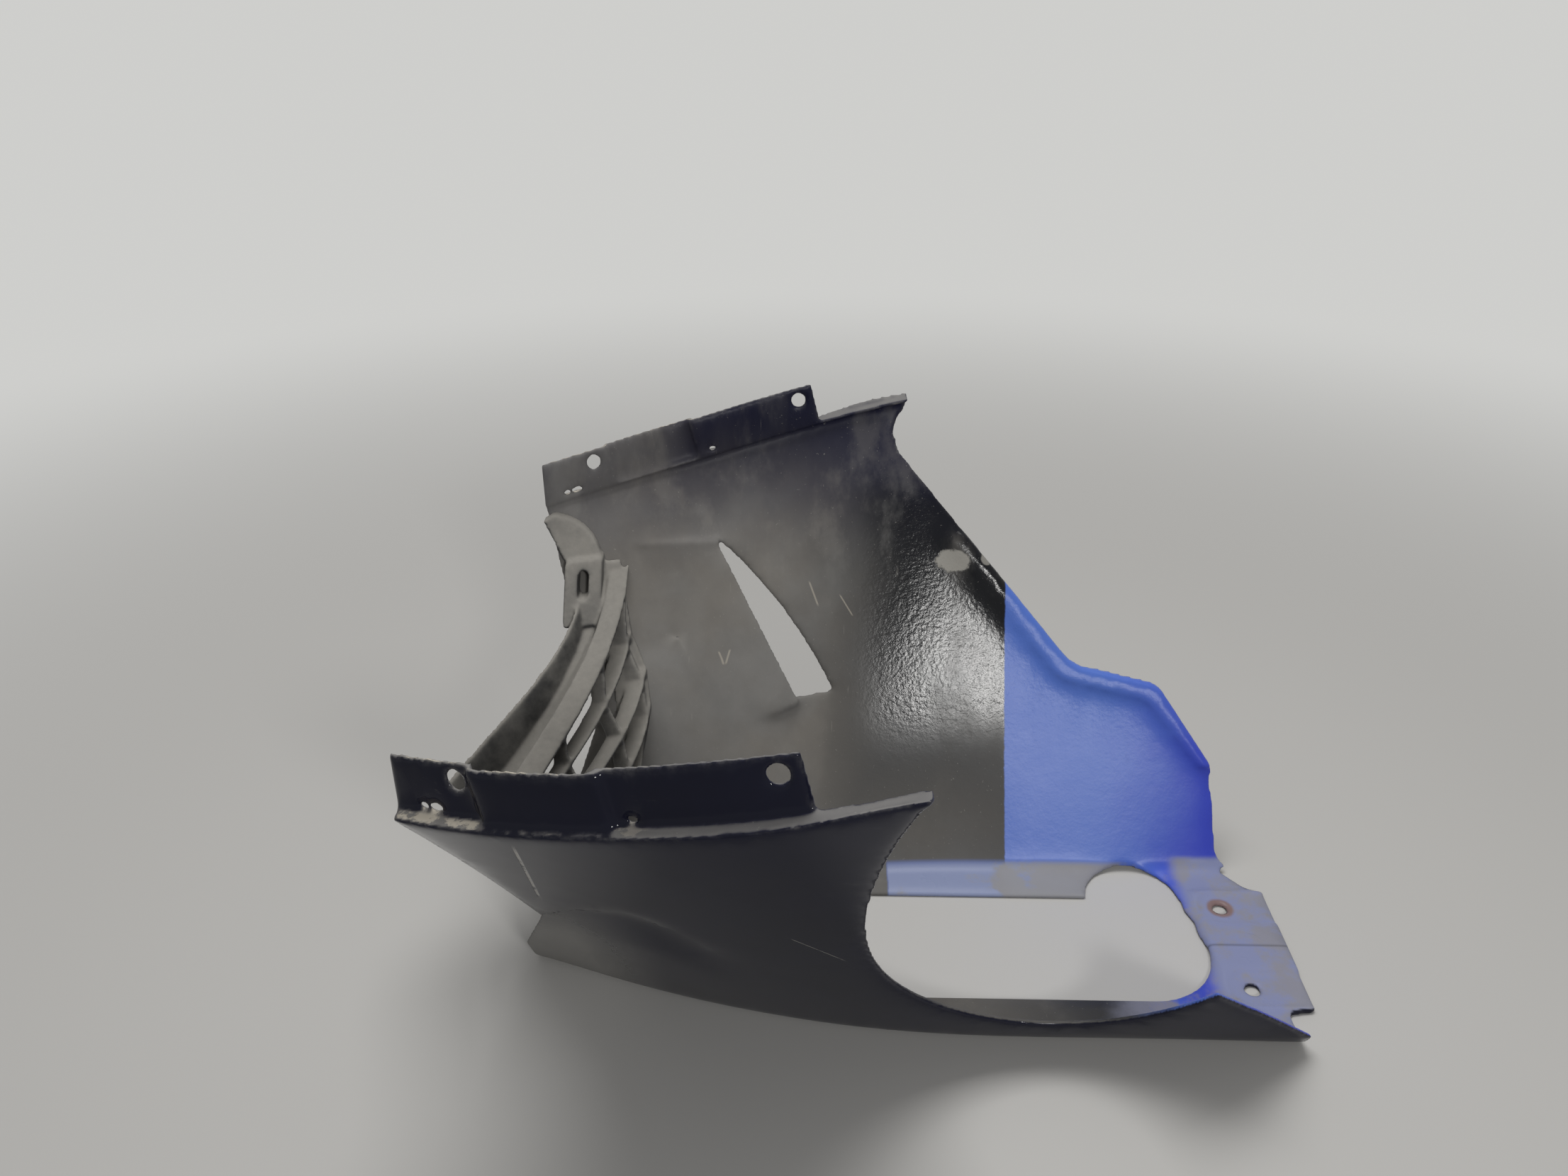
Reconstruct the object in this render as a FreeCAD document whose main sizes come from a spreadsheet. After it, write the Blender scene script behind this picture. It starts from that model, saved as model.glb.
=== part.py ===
import FreeCAD, Part
import math
import os

# Lower fairing of a motorcycle: a painted belly pan and the unpainted grille in its front.
# +X points to the rear of the motorcycle, +Y to its right and +Z up.
# The origin is under the middle of the part.
# A station is a distance behind the front of the chin. A half width is measured from the middle plane.

Vector = FreeCAD.Vector
doc = FreeCAD.newDocument("lower_fairing")

# Driving dimensions in millimetres, angles in degrees
dimensions = {
    # skin of the pan
    "wall": 3.0,
    "pan_length": 473.0,
    "wall_bulge": 4.0,
    "nose_hollow": 4.0,
    "bilge_radius": 14.0,
    "chin_half_width": 12.0,
    "belly_half_width": 76.0,
    "belly_full_station": 285.0,
    # shoulder line along the top of both walls
    "nose_overhang": 9.0,
    "nose_height": 231.0,
    "nose_half_width": 177.0,
    "tip_station": 228.0,
    "tip_height": 287.0,
    "tip_half_width": 233.0,
    "shoulder_sag": 4.0,
    # front edge of the walls and the chin
    "cheek_station": 5.0,
    "cheek_height": 184.0,
    "throat_station": 29.0,
    "throat_height": 104.0,
    "chin_height": 27.0,
    # shoulder ledge and mounting flange
    "ledge": 9.0,
    "ledge_drop": 0.4,
    "flange_thickness": 2.6,
    "flange_height": 27.5,
    "flange_length": 190.0,
    "flange_joggle": 4.0,
    "joggle_start": 46.0,
    "joggle_length": 58.0,
    "flange_hole": 9.0,
    "flange_hole_rise": 18.5,
    "front_hole_run": 38.0,
    "rear_hole_run": 179.0,
    "front_slit_run": 14.0,
    "front_slit_length": 13.0,
    "rear_slit_run": 109.0,
    "rear_slit_length": 8.0,
    "slit_width": 2.6,
    "slit_rise": 1.5,
    # arc cut from the rear of the left wall
    "left_tip_station": 220.0,
    "arc_waist_station": 199.0,
    "arc_waist_height": 172.0,
    "arc_heel_station": 233.0,
    "arc_heel_height": 67.0,
    "sill_station": 288.0,
    "sill_height": 35.0,
    "apex_station": 382.0,
    "apex_height": 88.0,
    "tail_station": 458.0,
    "tail_height": 14.0,
    # rear edge of the right wall
    "right_tip_station": 236.0,
    "right_waist_station": 227.0,
    "right_waist_height": 256.0,
    "shelf_front_station": 351.0,
    "shelf_front_height": 122.0,
    "shelf_rear_station": 409.0,
    "shelf_rear_height": 112.0,
    "hip_station": 445.0,
    "hip_height": 64.0,
    "right_rear_station": 448.0,
    "edge_radius": 14.0,
    "rim_start": 0.33,
    "rim_width": 9.0,
    "rim_depth": 3.0,
    # vent in the right wall, with the pressed panel ahead of it
    "vent_top_station": 107.0,
    "vent_top_height": 199.0,
    "vent_foot_station": 163.0,
    "vent_foot_height": 105.0,
    "vent_foot_width": 23.0,
    "vent_bow": 6.0,
    "louvre_run": 58.0,
    "louvre_press": 6.0,
    # opening in the bottom
    "opening_half_width": 46.0,
    "opening_front_station": 126.0,
    "opening_radius": 22.0,
    "notch_station": 385.0,
    "notch_radius": 30.0,
    "tab_front_station": 421.0,
    "saw_mark": 1.5,
    # rear tab
    "tab_half_width": 52.0,
    "tab_root_station": 456.0,
    "tab_plateau": 1.8,
    "tab_hole": 9.0,
    "tab_hole_station": 440.0,
    "tab_hole_half_spacing": 36.0,
    "pad_width": 29.0,
    # grille
    "grille_gap": 0.3,
    "grille_wall": 3.0,
    "grille_reach": 49.0,
    "lip_height": 118.0,
    "lip_end_station": 16.0,
    "lip_end_height": 182.0,
    "lip_half_span": 134.0,
    "ridge_station": -16.0,
    "ridge_height": 112.0,
    "ridge_end_station": 35.0,
    "ridge_end_height": 188.0,
    "ridge_half_span": 148.0,
    "bar_bluntness": 0.1,
    "gutter_depth": 22.0,
    "gutter_end_depth": 6.0,
    "gutter_slant": 0.25,
    "band_width": 16.0,
    "slat_width": 13.0,
    "slat_station": -4.0,
    "slat_height": 92.0,
    "slat_setback": 9.0,
    "slat_pitch": 18.5,
    "slat_end_station": 44.0,
    "slat_end_height": 152.0,
    "slat_end_setback": 14.0,
    "slat_end_pitch": 21.0,
    "slat_tilt": -15.0,
    "rib_thickness": 3.0,
    "frame_width": 32.0,
    "bracket_station": 19.0,
    "bracket_height": 182.0,
    "bracket_length": 36.0,
    "bracket_width": 24.0,
    "bracket_depth": 11.0,
    "bracket_slot_length": 16.0,
    "bracket_slot_width": 6.5,
    "end_lip_depth": 6.0,
}
slat_count = 4
ribs_each_side = 3
rib_reach = 0.92
rib_depth = 0.8
bar_steps = 8
lip_sweep = 1.3
bar_sweep = 1.15
nearly_round = 0.98

sheet = doc.addObject("Spreadsheet::Sheet", "dims")
for row, (alias, value) in enumerate(dimensions.items(), start=1):
    sheet.set(f"A{row}", alias.replace("_", " "))
    sheet.set(f"B{row}", str(value))
    sheet.setAlias(f"B{row}", alias)
doc.recompute()


def dim(alias):
    return float(sheet.get(alias))


wall = dim("wall")
nose = -dim("nose_overhang")
origin = (dim("pan_length") - dim("grille_reach")) / 2.0
origin_expression = "(dims.pan_length - dims.grille_reach) / 2"
rear_limit = dim("pan_length") + 4 * wall
front_limit = -dim("grille_reach") - 4 * wall
ceiling = dim("tip_height") + 3 * dim("flange_height")


def at(station, half_width, height):
    return Vector(station - origin, half_width, height)


# Document objects

def feature(name, shape):
    made = doc.addObject("Part::Feature", name)
    made.Shape = shape
    return made


def loft(name, wires, ruled):
    made = doc.addObject("Part::Loft", name)
    made.Sections = [feature(f"{name}_section", wire) for wire in wires]
    made.Solid = True
    made.Ruled = ruled
    return made


def fuse(name, shapes):
    made = doc.addObject("Part::MultiFuse", name)
    made.Shapes = shapes
    return made


def common(name, shapes):
    made = doc.addObject("Part::MultiCommon", name)
    made.Shapes = shapes
    return made


def cut(name, base, tool):
    made = doc.addObject("Part::Cut", name)
    made.Base = base
    made.Tool = tool
    return made


def prism(name, outline, direction, length):
    made = doc.addObject("Part::Extrusion", name)
    made.Base = feature(name + "_outline", Part.Face(Part.Wire(outline)))
    made.DirMode = "Custom"
    made.Dir = direction
    made.Solid = True
    made.setExpression("LengthFwd", length)
    return made


def side_prism(name, edges, side):
    """Solid over the left (-1) or right (1) half, from edges drawn in side view as station and height."""
    placed = [edge.copy().rotate(Vector(0, 0, 0), Vector(1, 0, 0), 90) for edge in edges]
    placed = [edge.translate(Vector(-origin, 0, 0)) for edge in placed]
    return prism(name, placed, Vector(0, side, 0), "2 * dims.tip_half_width")


def full_prism(name, edges):
    """Solid over the whole width, from edges drawn in side view."""
    made = side_prism(name, edges, 1)
    made.setExpression("LengthRev", "2 * dims.tip_half_width")
    return made


def plan_prism(name, edges, low, length):
    """Solid from edges drawn in plan as station and half width, upwards from a height."""
    placed = [edge.copy().translate(Vector(-origin, 0, low)) for edge in edges]
    return prism(name, placed, Vector(0, 0, 1), length)


def upright_hole(name, radius, station, half_width):
    made = doc.addObject("Part::Cylinder", name)
    made.setExpression("Radius", radius)
    made.setExpression("Height", "6 * dims.wall")
    made.setExpression("Placement.Base.x", f"{station} - {origin_expression}")
    made.setExpression("Placement.Base.y", half_width)
    made.setExpression("Placement.Base.z", "-dims.wall")
    return made


# Outlines

def rounded(points):
    """Edges through (x, y, radius) corners: straight runs joined by tangent arcs."""
    edges = []
    last = Vector(points[0][0], points[0][1], 0)
    for before, here, after in zip(points, points[1:], points[2:]):
        corner = Vector(here[0], here[1], 0)
        start = end = corner
        if here[2] > 0:
            back = (Vector(before[0], before[1], 0) - corner).normalize()
            ahead = (Vector(after[0], after[1], 0) - corner).normalize()
            half = back.getAngle(ahead) / 2
            run = here[2] / math.tan(half)
            start = corner + back * run
            end = corner + ahead * run
        edges.append(Part.LineSegment(last, start).toShape())
        if here[2] > 0:
            bisector = (back + ahead).normalize()
            middle = corner + bisector * (here[2] / math.sin(half) - here[2])
            edges.append(Part.Arc(start, middle, end).toShape())
        last = end
    edges.append(Part.LineSegment(last, Vector(points[-1][0], points[-1][1], 0)).toShape())
    return edges


def closed(points):
    return rounded(points + [points[0]])


def sharp(points):
    return closed([(x, y, 0) for x, y in points])


def curved(points, closing):
    """Edges of a closed outline: a smooth curve through points, then straight runs through closing."""
    curve = Part.BSplineCurve()
    curve.interpolate([Vector(x, y, 0) for x, y in points])
    runs = [points[-1]] + closing + [points[0]]
    return [curve.toShape()] + [
        Part.LineSegment(Vector(*a, 0), Vector(*b, 0)).toShape() for a, b in zip(runs, runs[1:])
    ]


# Hull form

def shoulder_share(station):
    return (min(station, dim("tip_station")) - nose) / (dim("tip_station") - nose)


def shoulder_height(station):
    share = shoulder_share(station)
    sag = 4 * dim("shoulder_sag") * share * (1 - share)
    return dim("nose_height") + (dim("tip_height") - dim("nose_height")) * share - sag


def shoulder_half_width(station):
    taper = dim("tip_half_width") - dim("nose_half_width")
    return dim("tip_half_width") - taper * (1 - shoulder_share(station)) ** 2


def belly_share(station):
    return min(1.0, max(0.0, station / dim("belly_full_station")))


def belly_half_width(station):
    taper = dim("belly_half_width") - dim("chin_half_width")
    return dim("belly_half_width") - taper * (1 - belly_share(station)) ** 2


def wall_bow(station):
    return (dim("wall_bulge") + dim("nose_hollow")) * belly_share(station) - dim("nose_hollow")


def hull_side(station, inset):
    """Bottom corner, top corner and unit direction of one side line, set in from the outer skin."""
    low = (belly_half_width(station), 0.0)
    high = (shoulder_half_width(station), shoulder_height(station))
    length = math.hypot(high[0] - low[0], high[1])
    along = ((high[0] - low[0]) / length, high[1] / length)
    inward = (-along[1], along[0])
    lift = inset * (1 - inward[1]) / along[1]
    corner = (low[0] + inset * inward[0] + lift * along[0], inset)
    top = (high[0] + inset * inward[0], high[1] + inset * inward[1])
    return corner, top, along


def hull_section(station, inset, overshoot):
    corner, top, along = hull_side(station, inset)
    top = (top[0] + overshoot * along[0], top[1] + overshoot * along[1])
    half_turn = math.acos(along[0]) / 2
    radius = max(wall, dim("bilge_radius") - inset)
    radius = min(radius, 0.9 * corner[0] / math.tan(half_turn))
    tangent = radius * math.tan(half_turn)
    start = (corner[0] + tangent * along[0], corner[1] + tangent * along[1])
    end = (corner[0] - tangent, inset)
    centre = (end[0], inset + radius)
    middle = (centre[0] + radius * math.sin(half_turn), centre[1] - radius * math.cos(half_turn))
    bow = wall_bow(station)
    bowed = ((start[0] + top[0]) / 2 + bow * along[1], (start[1] + top[1]) / 2 - bow * along[0])

    def point(place, side):
        return at(station, side * place[0], place[1])

    return Part.Wire([
        Part.Arc(point(top, -1), point(bowed, -1), point(start, -1)).toShape(),
        Part.Arc(point(start, -1), point(middle, -1), point(end, -1)).toShape(),
        Part.LineSegment(point(end, -1), point(end, 1)).toShape(),
        Part.Arc(point(end, 1), point(middle, 1), point(start, 1)).toShape(),
        Part.Arc(point(start, 1), point(bowed, 1), point(top, 1)).toShape(),
        Part.LineSegment(point(top, 1), point(top, -1)).toShape(),
    ])


def hull_stations():
    tip = dim("tip_station")
    full = dim("belly_full_station")
    ahead = [front_limit, nose] + [nose + (tip - nose) * share for share in (0.25, 0.5, 0.75, 1.0)]
    return ahead + [max(full, tip + 10 * wall), (max(full, tip) + rear_limit) / 2, rear_limit]


def hull(name, inset, overshoot):
    return loft(name, [hull_section(station, inset, overshoot) for station in hull_stations()], False)


def hull_half_width(station, height, inset):
    """Half width of the skin, set in by inset, at a station and height."""
    corner, top, along = hull_side(station, inset)
    share = (height - corner[1]) / (top[1] - corner[1])
    return corner[0] + (top[0] - corner[0]) * share + 4 * wall_bow(station) * share * (1 - share) * along[1]


# Side views of the wall edges

def front_corners(shift):
    """Corners of the front edge from the bottom to the ceiling, moved forward by shift."""
    return [
        (-shift, -wall, 0), (-shift, dim("chin_height"), wall),
        (dim("throat_station") - shift, dim("throat_height"), 4 * wall),
        (dim("cheek_station") - shift, dim("cheek_height"), 6 * wall),
        (nose - shift, shoulder_height(nose) - wall, 0), (nose - shift, ceiling, 0),
    ]


def front_edge():
    ahead = front_limit - wall
    return closed([(ahead, -wall, 0)] + front_corners(0.0) + [(ahead, ceiling, 0)])


def behind_front_edge():
    return closed([(rear_limit, -wall, 0)] + front_corners(dim("grille_gap")) + [(rear_limit, ceiling, 0)])


def left_edge():
    tip = dim("left_tip_station")
    curve = [
        (tip, shoulder_height(tip) + wall), (dim("arc_waist_station"), dim("arc_waist_height")),
        (dim("arc_heel_station"), dim("arc_heel_height")), (dim("sill_station"), dim("sill_height")),
        (dim("apex_station"), dim("apex_height")),
    ]
    return curved(curve, [
        (dim("tail_station"), dim("tail_height")), (dim("tail_station"), wall), (rear_limit + wall, wall),
        (rear_limit + wall, ceiling), (tip, ceiling),
    ])


def right_corners(shift):
    """Corners of the right wall's rear edge below its waist, moved forward and down by shift."""
    radius = dim("edge_radius")
    return [
        (dim("right_waist_station") - shift, dim("right_waist_height") - shift, radius),
        (dim("shelf_front_station") - shift, dim("shelf_front_height") - shift, 2 * radius),
        (dim("shelf_rear_station") - shift, dim("shelf_rear_height") - shift, radius),
        (dim("hip_station") - shift, dim("hip_height"), radius),
        (dim("right_rear_station") - shift, wall, radius),
    ]


def right_edge():
    tip = dim("right_tip_station")
    top = [(tip, ceiling, 0), (tip, shoulder_height(tip) - wall, 0)]
    rear = rear_limit + wall
    return closed(top + right_corners(0.0) + [(rear, wall, 0), (rear, ceiling, 0)])


def rim_zone():
    """Side view of all that lies behind the rim's front border, from below the waist to the hip."""
    corners = right_corners(dim("rim_width"))[:-1]
    waist, shelf = corners[0], corners[1]
    start = [waist[axis] + (shelf[axis] - waist[axis]) * dim("rim_start") for axis in (0, 1)]
    hip = (corners[-1][0], corners[-1][1], 0)
    return closed([(*start, 0)] + corners[1:-1] + [hip, (rear_limit, hip[1], 0), (rear_limit, start[1], 0)])


# Plan views of the bottom

def rear_edge():
    half = dim("tab_half_width")
    root = dim("tab_root_station")
    wide = 2 * dim("tip_half_width")
    return closed([
        (rear_limit + wall, -wide, 0), (dim("tail_station"), -wide, 0),
        (dim("tail_station"), -dim("belly_half_width"), 0), (root, -half - wall, wall),
        (dim("pan_length"), -half, wall), (dim("pan_length"), half, wall),
        (root + 2 * wall, half + 2 * wall, 2 * wall),
        (dim("right_rear_station"), dim("belly_half_width"), 0), (dim("right_rear_station"), wide, 0),
        (rear_limit + wall, wide, 0),
    ])


def opening_edge():
    """Bottom opening. Its rear edge was sawn by hand and is uneven."""
    half = dim("opening_half_width")
    front = dim("opening_front_station")
    back = dim("tab_front_station")
    radius = dim("opening_radius")
    mark = dim("saw_mark")
    return closed([
        (front, 0.0, 0), (front, -half, radius), (back, -half, 2 * radius), (back + mark, 0.0, 0),
        (back - mark, half / 3, 0), (back - mark / 2, half / 2, 0), (back - 3 * mark, 0.75 * half, 0),
        (back - 3 * mark, half, 0), (front, half, radius),
    ])


# Vent and pressed panel in the right wall

def vent_edge():
    top = Vector(dim("vent_top_station"), dim("vent_top_height"), 0)
    foot = Vector(dim("vent_foot_station"), dim("vent_foot_height"), 0)
    heel = foot + Vector(dim("vent_foot_width"), wall, 0)
    along = (heel - top).normalize()
    middle = (heel + top) * 0.5 + Vector(-along.y, along.x, 0) * dim("vent_bow")
    return [
        Part.Arc(top, middle, heel).toShape(),
        Part.LineSegment(heel, foot).toShape(),
        Part.LineSegment(foot, top).toShape(),
    ]


def louvre_places():
    """Side view corners of the panel pressed inwards, each with its share of the full press."""
    top = (dim("vent_top_station"), dim("vent_top_height"))
    foot = (dim("vent_foot_station"), dim("vent_foot_height"))
    run = dim("louvre_run")
    lead = (foot[0] - run, foot[1] - run / 3)
    crown = (top[0] - run, top[1])
    return [(top, 1.0), (foot, 1.0), (lead, 0.0), (crown, 0.0)]


def louvre_point(place, depth):
    return at(place[0], hull_half_width(*place, wall) + depth, place[1])


def louvre():
    places = louvre_places()
    press = dim("louvre_press")
    pieces = []
    for corners in ((0, 1, 2), (0, 2, 3)):
        rings = []
        for depth in (0.0, wall):
            ring = [louvre_point(places[c][0], depth - places[c][1] * press) for c in corners]
            rings.append(Part.makePolygon(ring + ring[:1]))
        pieces.append(loft("louvre_panel", rings, True))
    for deep, thin, lift in ((0, 3, wall), (1, 2, -wall)):
        ring = [louvre_point(places[thin][0], 0.0), louvre_point(places[deep][0], -press),
                louvre_point(places[deep][0], wall), louvre_point(places[thin][0], wall)]
        rings = [[point + Vector(0, 0, shift) for point in ring] for shift in (-lift / 2, lift)]
        for corners in ((0, 1, 2), (0, 2, 3)):
            wires = [Part.makePolygon([r[c] for c in corners] + [r[corners[0]]]) for r in rings]
            pieces.append(loft("louvre_web", wires, True))
    return fuse("louvre", pieces)


# Shoulder ledge and flange

slope = math.atan2(dim("tip_height") - dim("nose_height"), dim("tip_station") - nose)


def on_line(run, rise):
    """Station and height of a point on the flange: run along the shoulder from the nose, rise across it."""
    station = nose + run * math.cos(slope)
    return station - rise * math.sin(slope), shoulder_height(station) + rise * math.cos(slope)


def flange_window(name, start, end, low, high, side):
    corners = [on_line(start, low), on_line(end, low), on_line(end, high), on_line(start, high)]
    return side_prism(name, sharp(corners), side)


def shoulder_strip(name, inner, outer, high, side):
    """Strip along the shoulder, between two distances in from the outer skin, up to a height above it."""
    tip = dim("left_tip_station") if side < 0 else dim("right_tip_station")
    stations = [nose + (tip - nose) * share for share in (0.0, 0.25, 0.5, 0.75, 1.0)]
    wires = []
    for station in stations:
        half = shoulder_half_width(station)
        base = shoulder_height(station)
        near = side * (half - inner)
        far = side * (half - outer)
        corners = ((near, base - wall), (far, base - wall), (far, base + high), (near, base + high))
        ring = [at(station, place, height) for place, height in corners]
        wires.append(Part.makePolygon(ring + ring[:1]))
    return loft(name, wires, False)


def flange_hole(name, run, side):
    """Hole square to the flange, which turns inwards towards the nose."""
    station, height = on_line(dim(run), dim("flange_hole_rise"))
    turn = shoulder_half_width(station + 1) - shoulder_half_width(station)
    outward = Vector(-turn, side, 0).normalize()
    thick = dim("flange_thickness")
    middle = at(station, side * (shoulder_half_width(station) - dim("ledge") - thick / 2), height)
    made = doc.addObject("Part::Cylinder", name)
    made.setExpression("Radius", "dims.flange_hole / 2")
    made.setExpression("Height", "6 * dims.flange_thickness")
    turned = FreeCAD.Rotation(Vector(0, 0, 1), outward)
    made.Placement = FreeCAD.Placement(middle - outward * 3 * thick, turned)
    return made


def shoulder(side):
    name = "left" if side < 0 else "right"
    thick = dim("flange_thickness")
    inner = dim("ledge") + thick
    outer = dim("ledge")
    joggle = dim("flange_joggle")
    high = dim("flange_height")
    one = dim("joggle_start")
    two = one + dim("joggle_length")
    shelf = shoulder_strip(name + "_ledge", inner, wall, -dim("ledge_drop"), side)
    straight = shoulder_strip(name + "_flange_sheet", inner, outer, 2 * high, side)
    joggled = shoulder_strip(name + "_joggled_sheet", inner - joggle, outer - joggle, 2 * high, side)
    stepped = shoulder_strip(name + "_step_block", inner, outer - joggle, 2 * high, side)
    ends = fuse(name + "_flange_windows", [
        flange_window(name + "_front_window", 0, one + thick, -wall, high, side),
        flange_window(name + "_rear_window", two, dim("flange_length"), -wall, high, side),
    ])
    middle = flange_window(name + "_joggle_window", one, two + thick, -wall, high, side)
    steps = fuse(name + "_step_windows", [
        flange_window(name + "_step_window", step, step + thick, -wall, high, side) for step in (one, two)
    ])
    return fuse(name + "_shoulder", [
        shelf, common(name + "_flange", [straight, ends]), common(name + "_joggle", [joggled, middle]),
        common(name + "_steps", [stepped, steps]),
    ])


def shoulder_holes():
    holes = []
    for side, name in ((-1, "left"), (1, "right")):
        for end in ("front", "rear"):
            holes.append(flange_hole(f"{name}_{end}_hole", f"{end}_hole_run", side))
            run = dim(f"{end}_slit_run")
            low = dim("slit_rise")
            holes.append(flange_window(f"{name}_{end}_slit", run, run + dim(f"{end}_slit_length"), low,
                                       low + dim("slit_width"), side))
    return holes


# Rear tab

def tab_plateau():
    """Raised top of the rear tab, with a sunk pad round each hole that runs out at the rear edge."""
    half = dim("tab_half_width")
    front = dim("tab_front_station") + wall
    back = dim("pan_length")
    top = plan_prism("plateau", closed([
        (front, 0, 0), (front, -half, 0), (back, -half, wall), (back, half, wall), (front, half, 0),
    ]), wall / 2, "dims.wall / 2 + dims.tab_plateau")
    pads = []
    for side in (-1, 1):
        place = side * dim("tab_hole_half_spacing")
        pad_half = dim("pad_width") / 2
        start = dim("tab_hole_station")
        pads.append(plan_prism("pad", closed([
            (start, place + pad_half, 0), (start - pad_half, place + pad_half, nearly_round * pad_half),
            (start - pad_half, place - pad_half, nearly_round * pad_half),
            (rear_limit, place - pad_half, 0),
            (rear_limit, place + pad_half, 0),
        ]), wall, "3 * dims.wall"))
    return cut("tab_plateau", top, fuse("pads", pads))


def belly_pan():
    outer = hull("outer_skin", 0.0, 0.0)
    inner = hull("inner_skin", wall, 10 * wall)
    right_cut = side_prism("right_edge", right_edge(), 1)
    shell = cut("trough", outer, inner)
    for tool in (
        full_prism("front_edge", front_edge()), side_prism("left_edge", left_edge(), -1), right_cut,
        side_prism("vent", vent_edge(), 1),
        side_prism("louvre_window", sharp([place for place, press in louvre_places()]), 1),
        plan_prism("rear_edge", rear_edge(), -wall, "2.5 * dims.wall"),
        plan_prism("bottom_opening", opening_edge(), -wall, "3 * dims.wall"),
        upright_hole("notch", "dims.notch_radius", "dims.notch_station", "dims.opening_half_width"),
    ):
        shell = cut("shell_less_" + tool.Name, shell, tool)
    rim_layer = common("rim_layer", [side_prism("rim_zone", rim_zone(), 1), inner])
    rim_core = hull("rim_core", wall + dim("rim_depth"), 10 * wall)
    rim = cut("rim", cut("rim_blank", rim_layer, rim_core), right_cut)
    whole = fuse("whole_pan", [shell, louvre(), rim, shoulder(-1), shoulder(1), tab_plateau()])
    holes = shoulder_holes()
    for side, name in (("", "right"), ("-", "left")):
        holes.append(upright_hole(f"tab_hole_{name}", "dims.tab_hole / 2", "dims.tab_hole_station",
                                  f"{side}dims.tab_hole_half_spacing"))
    return cut("belly_pan", whole, fuse("holes", holes))


# Grille

def swept(share, middle, end, power):
    """Station along a bar that sweeps back from middle, at the middle plane, to end, at the wall."""
    return middle + (end - middle) * math.sin(math.pi / 2 * abs(share)) ** power


def raised(share, middle, end):
    """Height along a bar that rises evenly from a blunt middle to its end at the wall."""
    blunt = dim("bar_bluntness")
    return middle + (end - middle) * (math.hypot(share, blunt) - blunt) / (math.hypot(1, blunt) - blunt)


def within_walls(half_width, station, height):
    """Half width kept a little inside the face on which the grille sits."""
    limit = hull_half_width(station, height, wall + dim("grille_gap")) - dim("grille_wall") / 2
    return max(-limit, min(limit, half_width))


def lip_point(share):
    station = swept(share, -dim("grille_reach"), dim("lip_end_station"), lip_sweep)
    height = raised(share, dim("lip_height"), dim("lip_end_height"))
    return at(station, share * dim("lip_half_span"), height)


def ridge_point(share):
    station = swept(share, dim("ridge_station"), dim("ridge_end_station"), bar_sweep)
    height = raised(share, dim("ridge_height"), dim("ridge_end_height"))
    return at(station, within_walls(share * dim("ridge_half_span"), station, height), height)


def slat_end(index):
    station = dim("slat_end_station") + dim("slat_end_setback") * index * (1 - index / slat_count)
    return station, dim("slat_end_height") - dim("slat_end_pitch") * index


def slat_point(index, share):
    end = slat_end(index)
    station = swept(share, dim("slat_station") + dim("slat_setback") * index, end[0], bar_sweep)
    height = raised(share, dim("slat_height") - dim("slat_pitch") * index, end[1])
    half_width = share * hull_half_width(*end, wall)
    return at(station, within_walls(half_width, station, height), height)


bar_shares = [step / bar_steps for step in range(-bar_steps, bar_steps + 1)]


def gutter_frame(share):
    """Lip, ridge and the unit vector across the gutter."""
    lip = lip_point(share)
    ridge = ridge_point(share)
    return lip, ridge, (ridge - lip).normalize()


def gutter_section(share):
    lip, ridge, across = gutter_frame(share)
    down = Vector(0, 0, -1)
    thick = dim("grille_wall")
    depth = dim("gutter_depth") - (dim("gutter_depth") - dim("gutter_end_depth")) * share ** 2
    width = (ridge - lip).Length
    front_floor = lip + across * (dim("gutter_slant") * width) + down * depth
    rear_floor = ridge - across * (dim("gutter_slant") * width) + down * depth
    rear = ridge + across * dim("band_width")
    ring = [
        lip, lip + across * thick, front_floor + across * thick, rear_floor, ridge, rear,
        rear + down * thick, ridge + (across + down) * thick, rear_floor + (across + down) * thick,
        front_floor + down * thick,
    ]
    return Part.makePolygon(ring + ring[:1])


square = ((-1, -1), (1, -1), (1, 1), (-1, 1))
square_from_top = ((-1, 1), (-1, -1), (1, -1), (1, 1))
square_from_side = ((1, 1), (-1, 1), (-1, -1), (1, -1))


def bar_ring(centre, along, across):
    ring = [centre + along * x + across * y for x, y in square]
    return Part.makePolygon(ring + ring[:1])


tilt = math.radians(dim("slat_tilt"))
slat_along = Vector(math.cos(tilt), 0, -math.sin(tilt)) * (dim("slat_width") / 2)
slat_across = Vector(math.sin(tilt), 0, math.cos(tilt)) * (dim("grille_wall") / 2)


def slats():
    bars = []
    for index in range(slat_count):
        rings = [bar_ring(slat_point(index, share), slat_along, slat_across) for share in bar_shares]
        bars.append(loft("slat", rings, True))
    return bars


def band_point(share):
    lip, ridge, across = gutter_frame(share)
    return ridge + across * (dim("band_width") / 2) - Vector(0, 0, dim("grille_wall") / 2)


def ribs():
    """Short webs that tie the gutter's rear band and the slats together."""
    side = Vector(0, dim("rib_thickness") / 2, 0)
    webs = []
    for place in range(-ribs_each_side, ribs_each_side + 1):
        share = rib_reach * place / ribs_each_side
        knots = [band_point(share)] + [slat_point(index, share) for index in range(slat_count)]
        for upper, lower in zip(knots, knots[1:]):
            rings = [bar_ring(knot, slat_along * rib_depth, side) for knot in (upper, lower)]
            webs.append(loft("rib", rings, True))
    return webs


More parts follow.
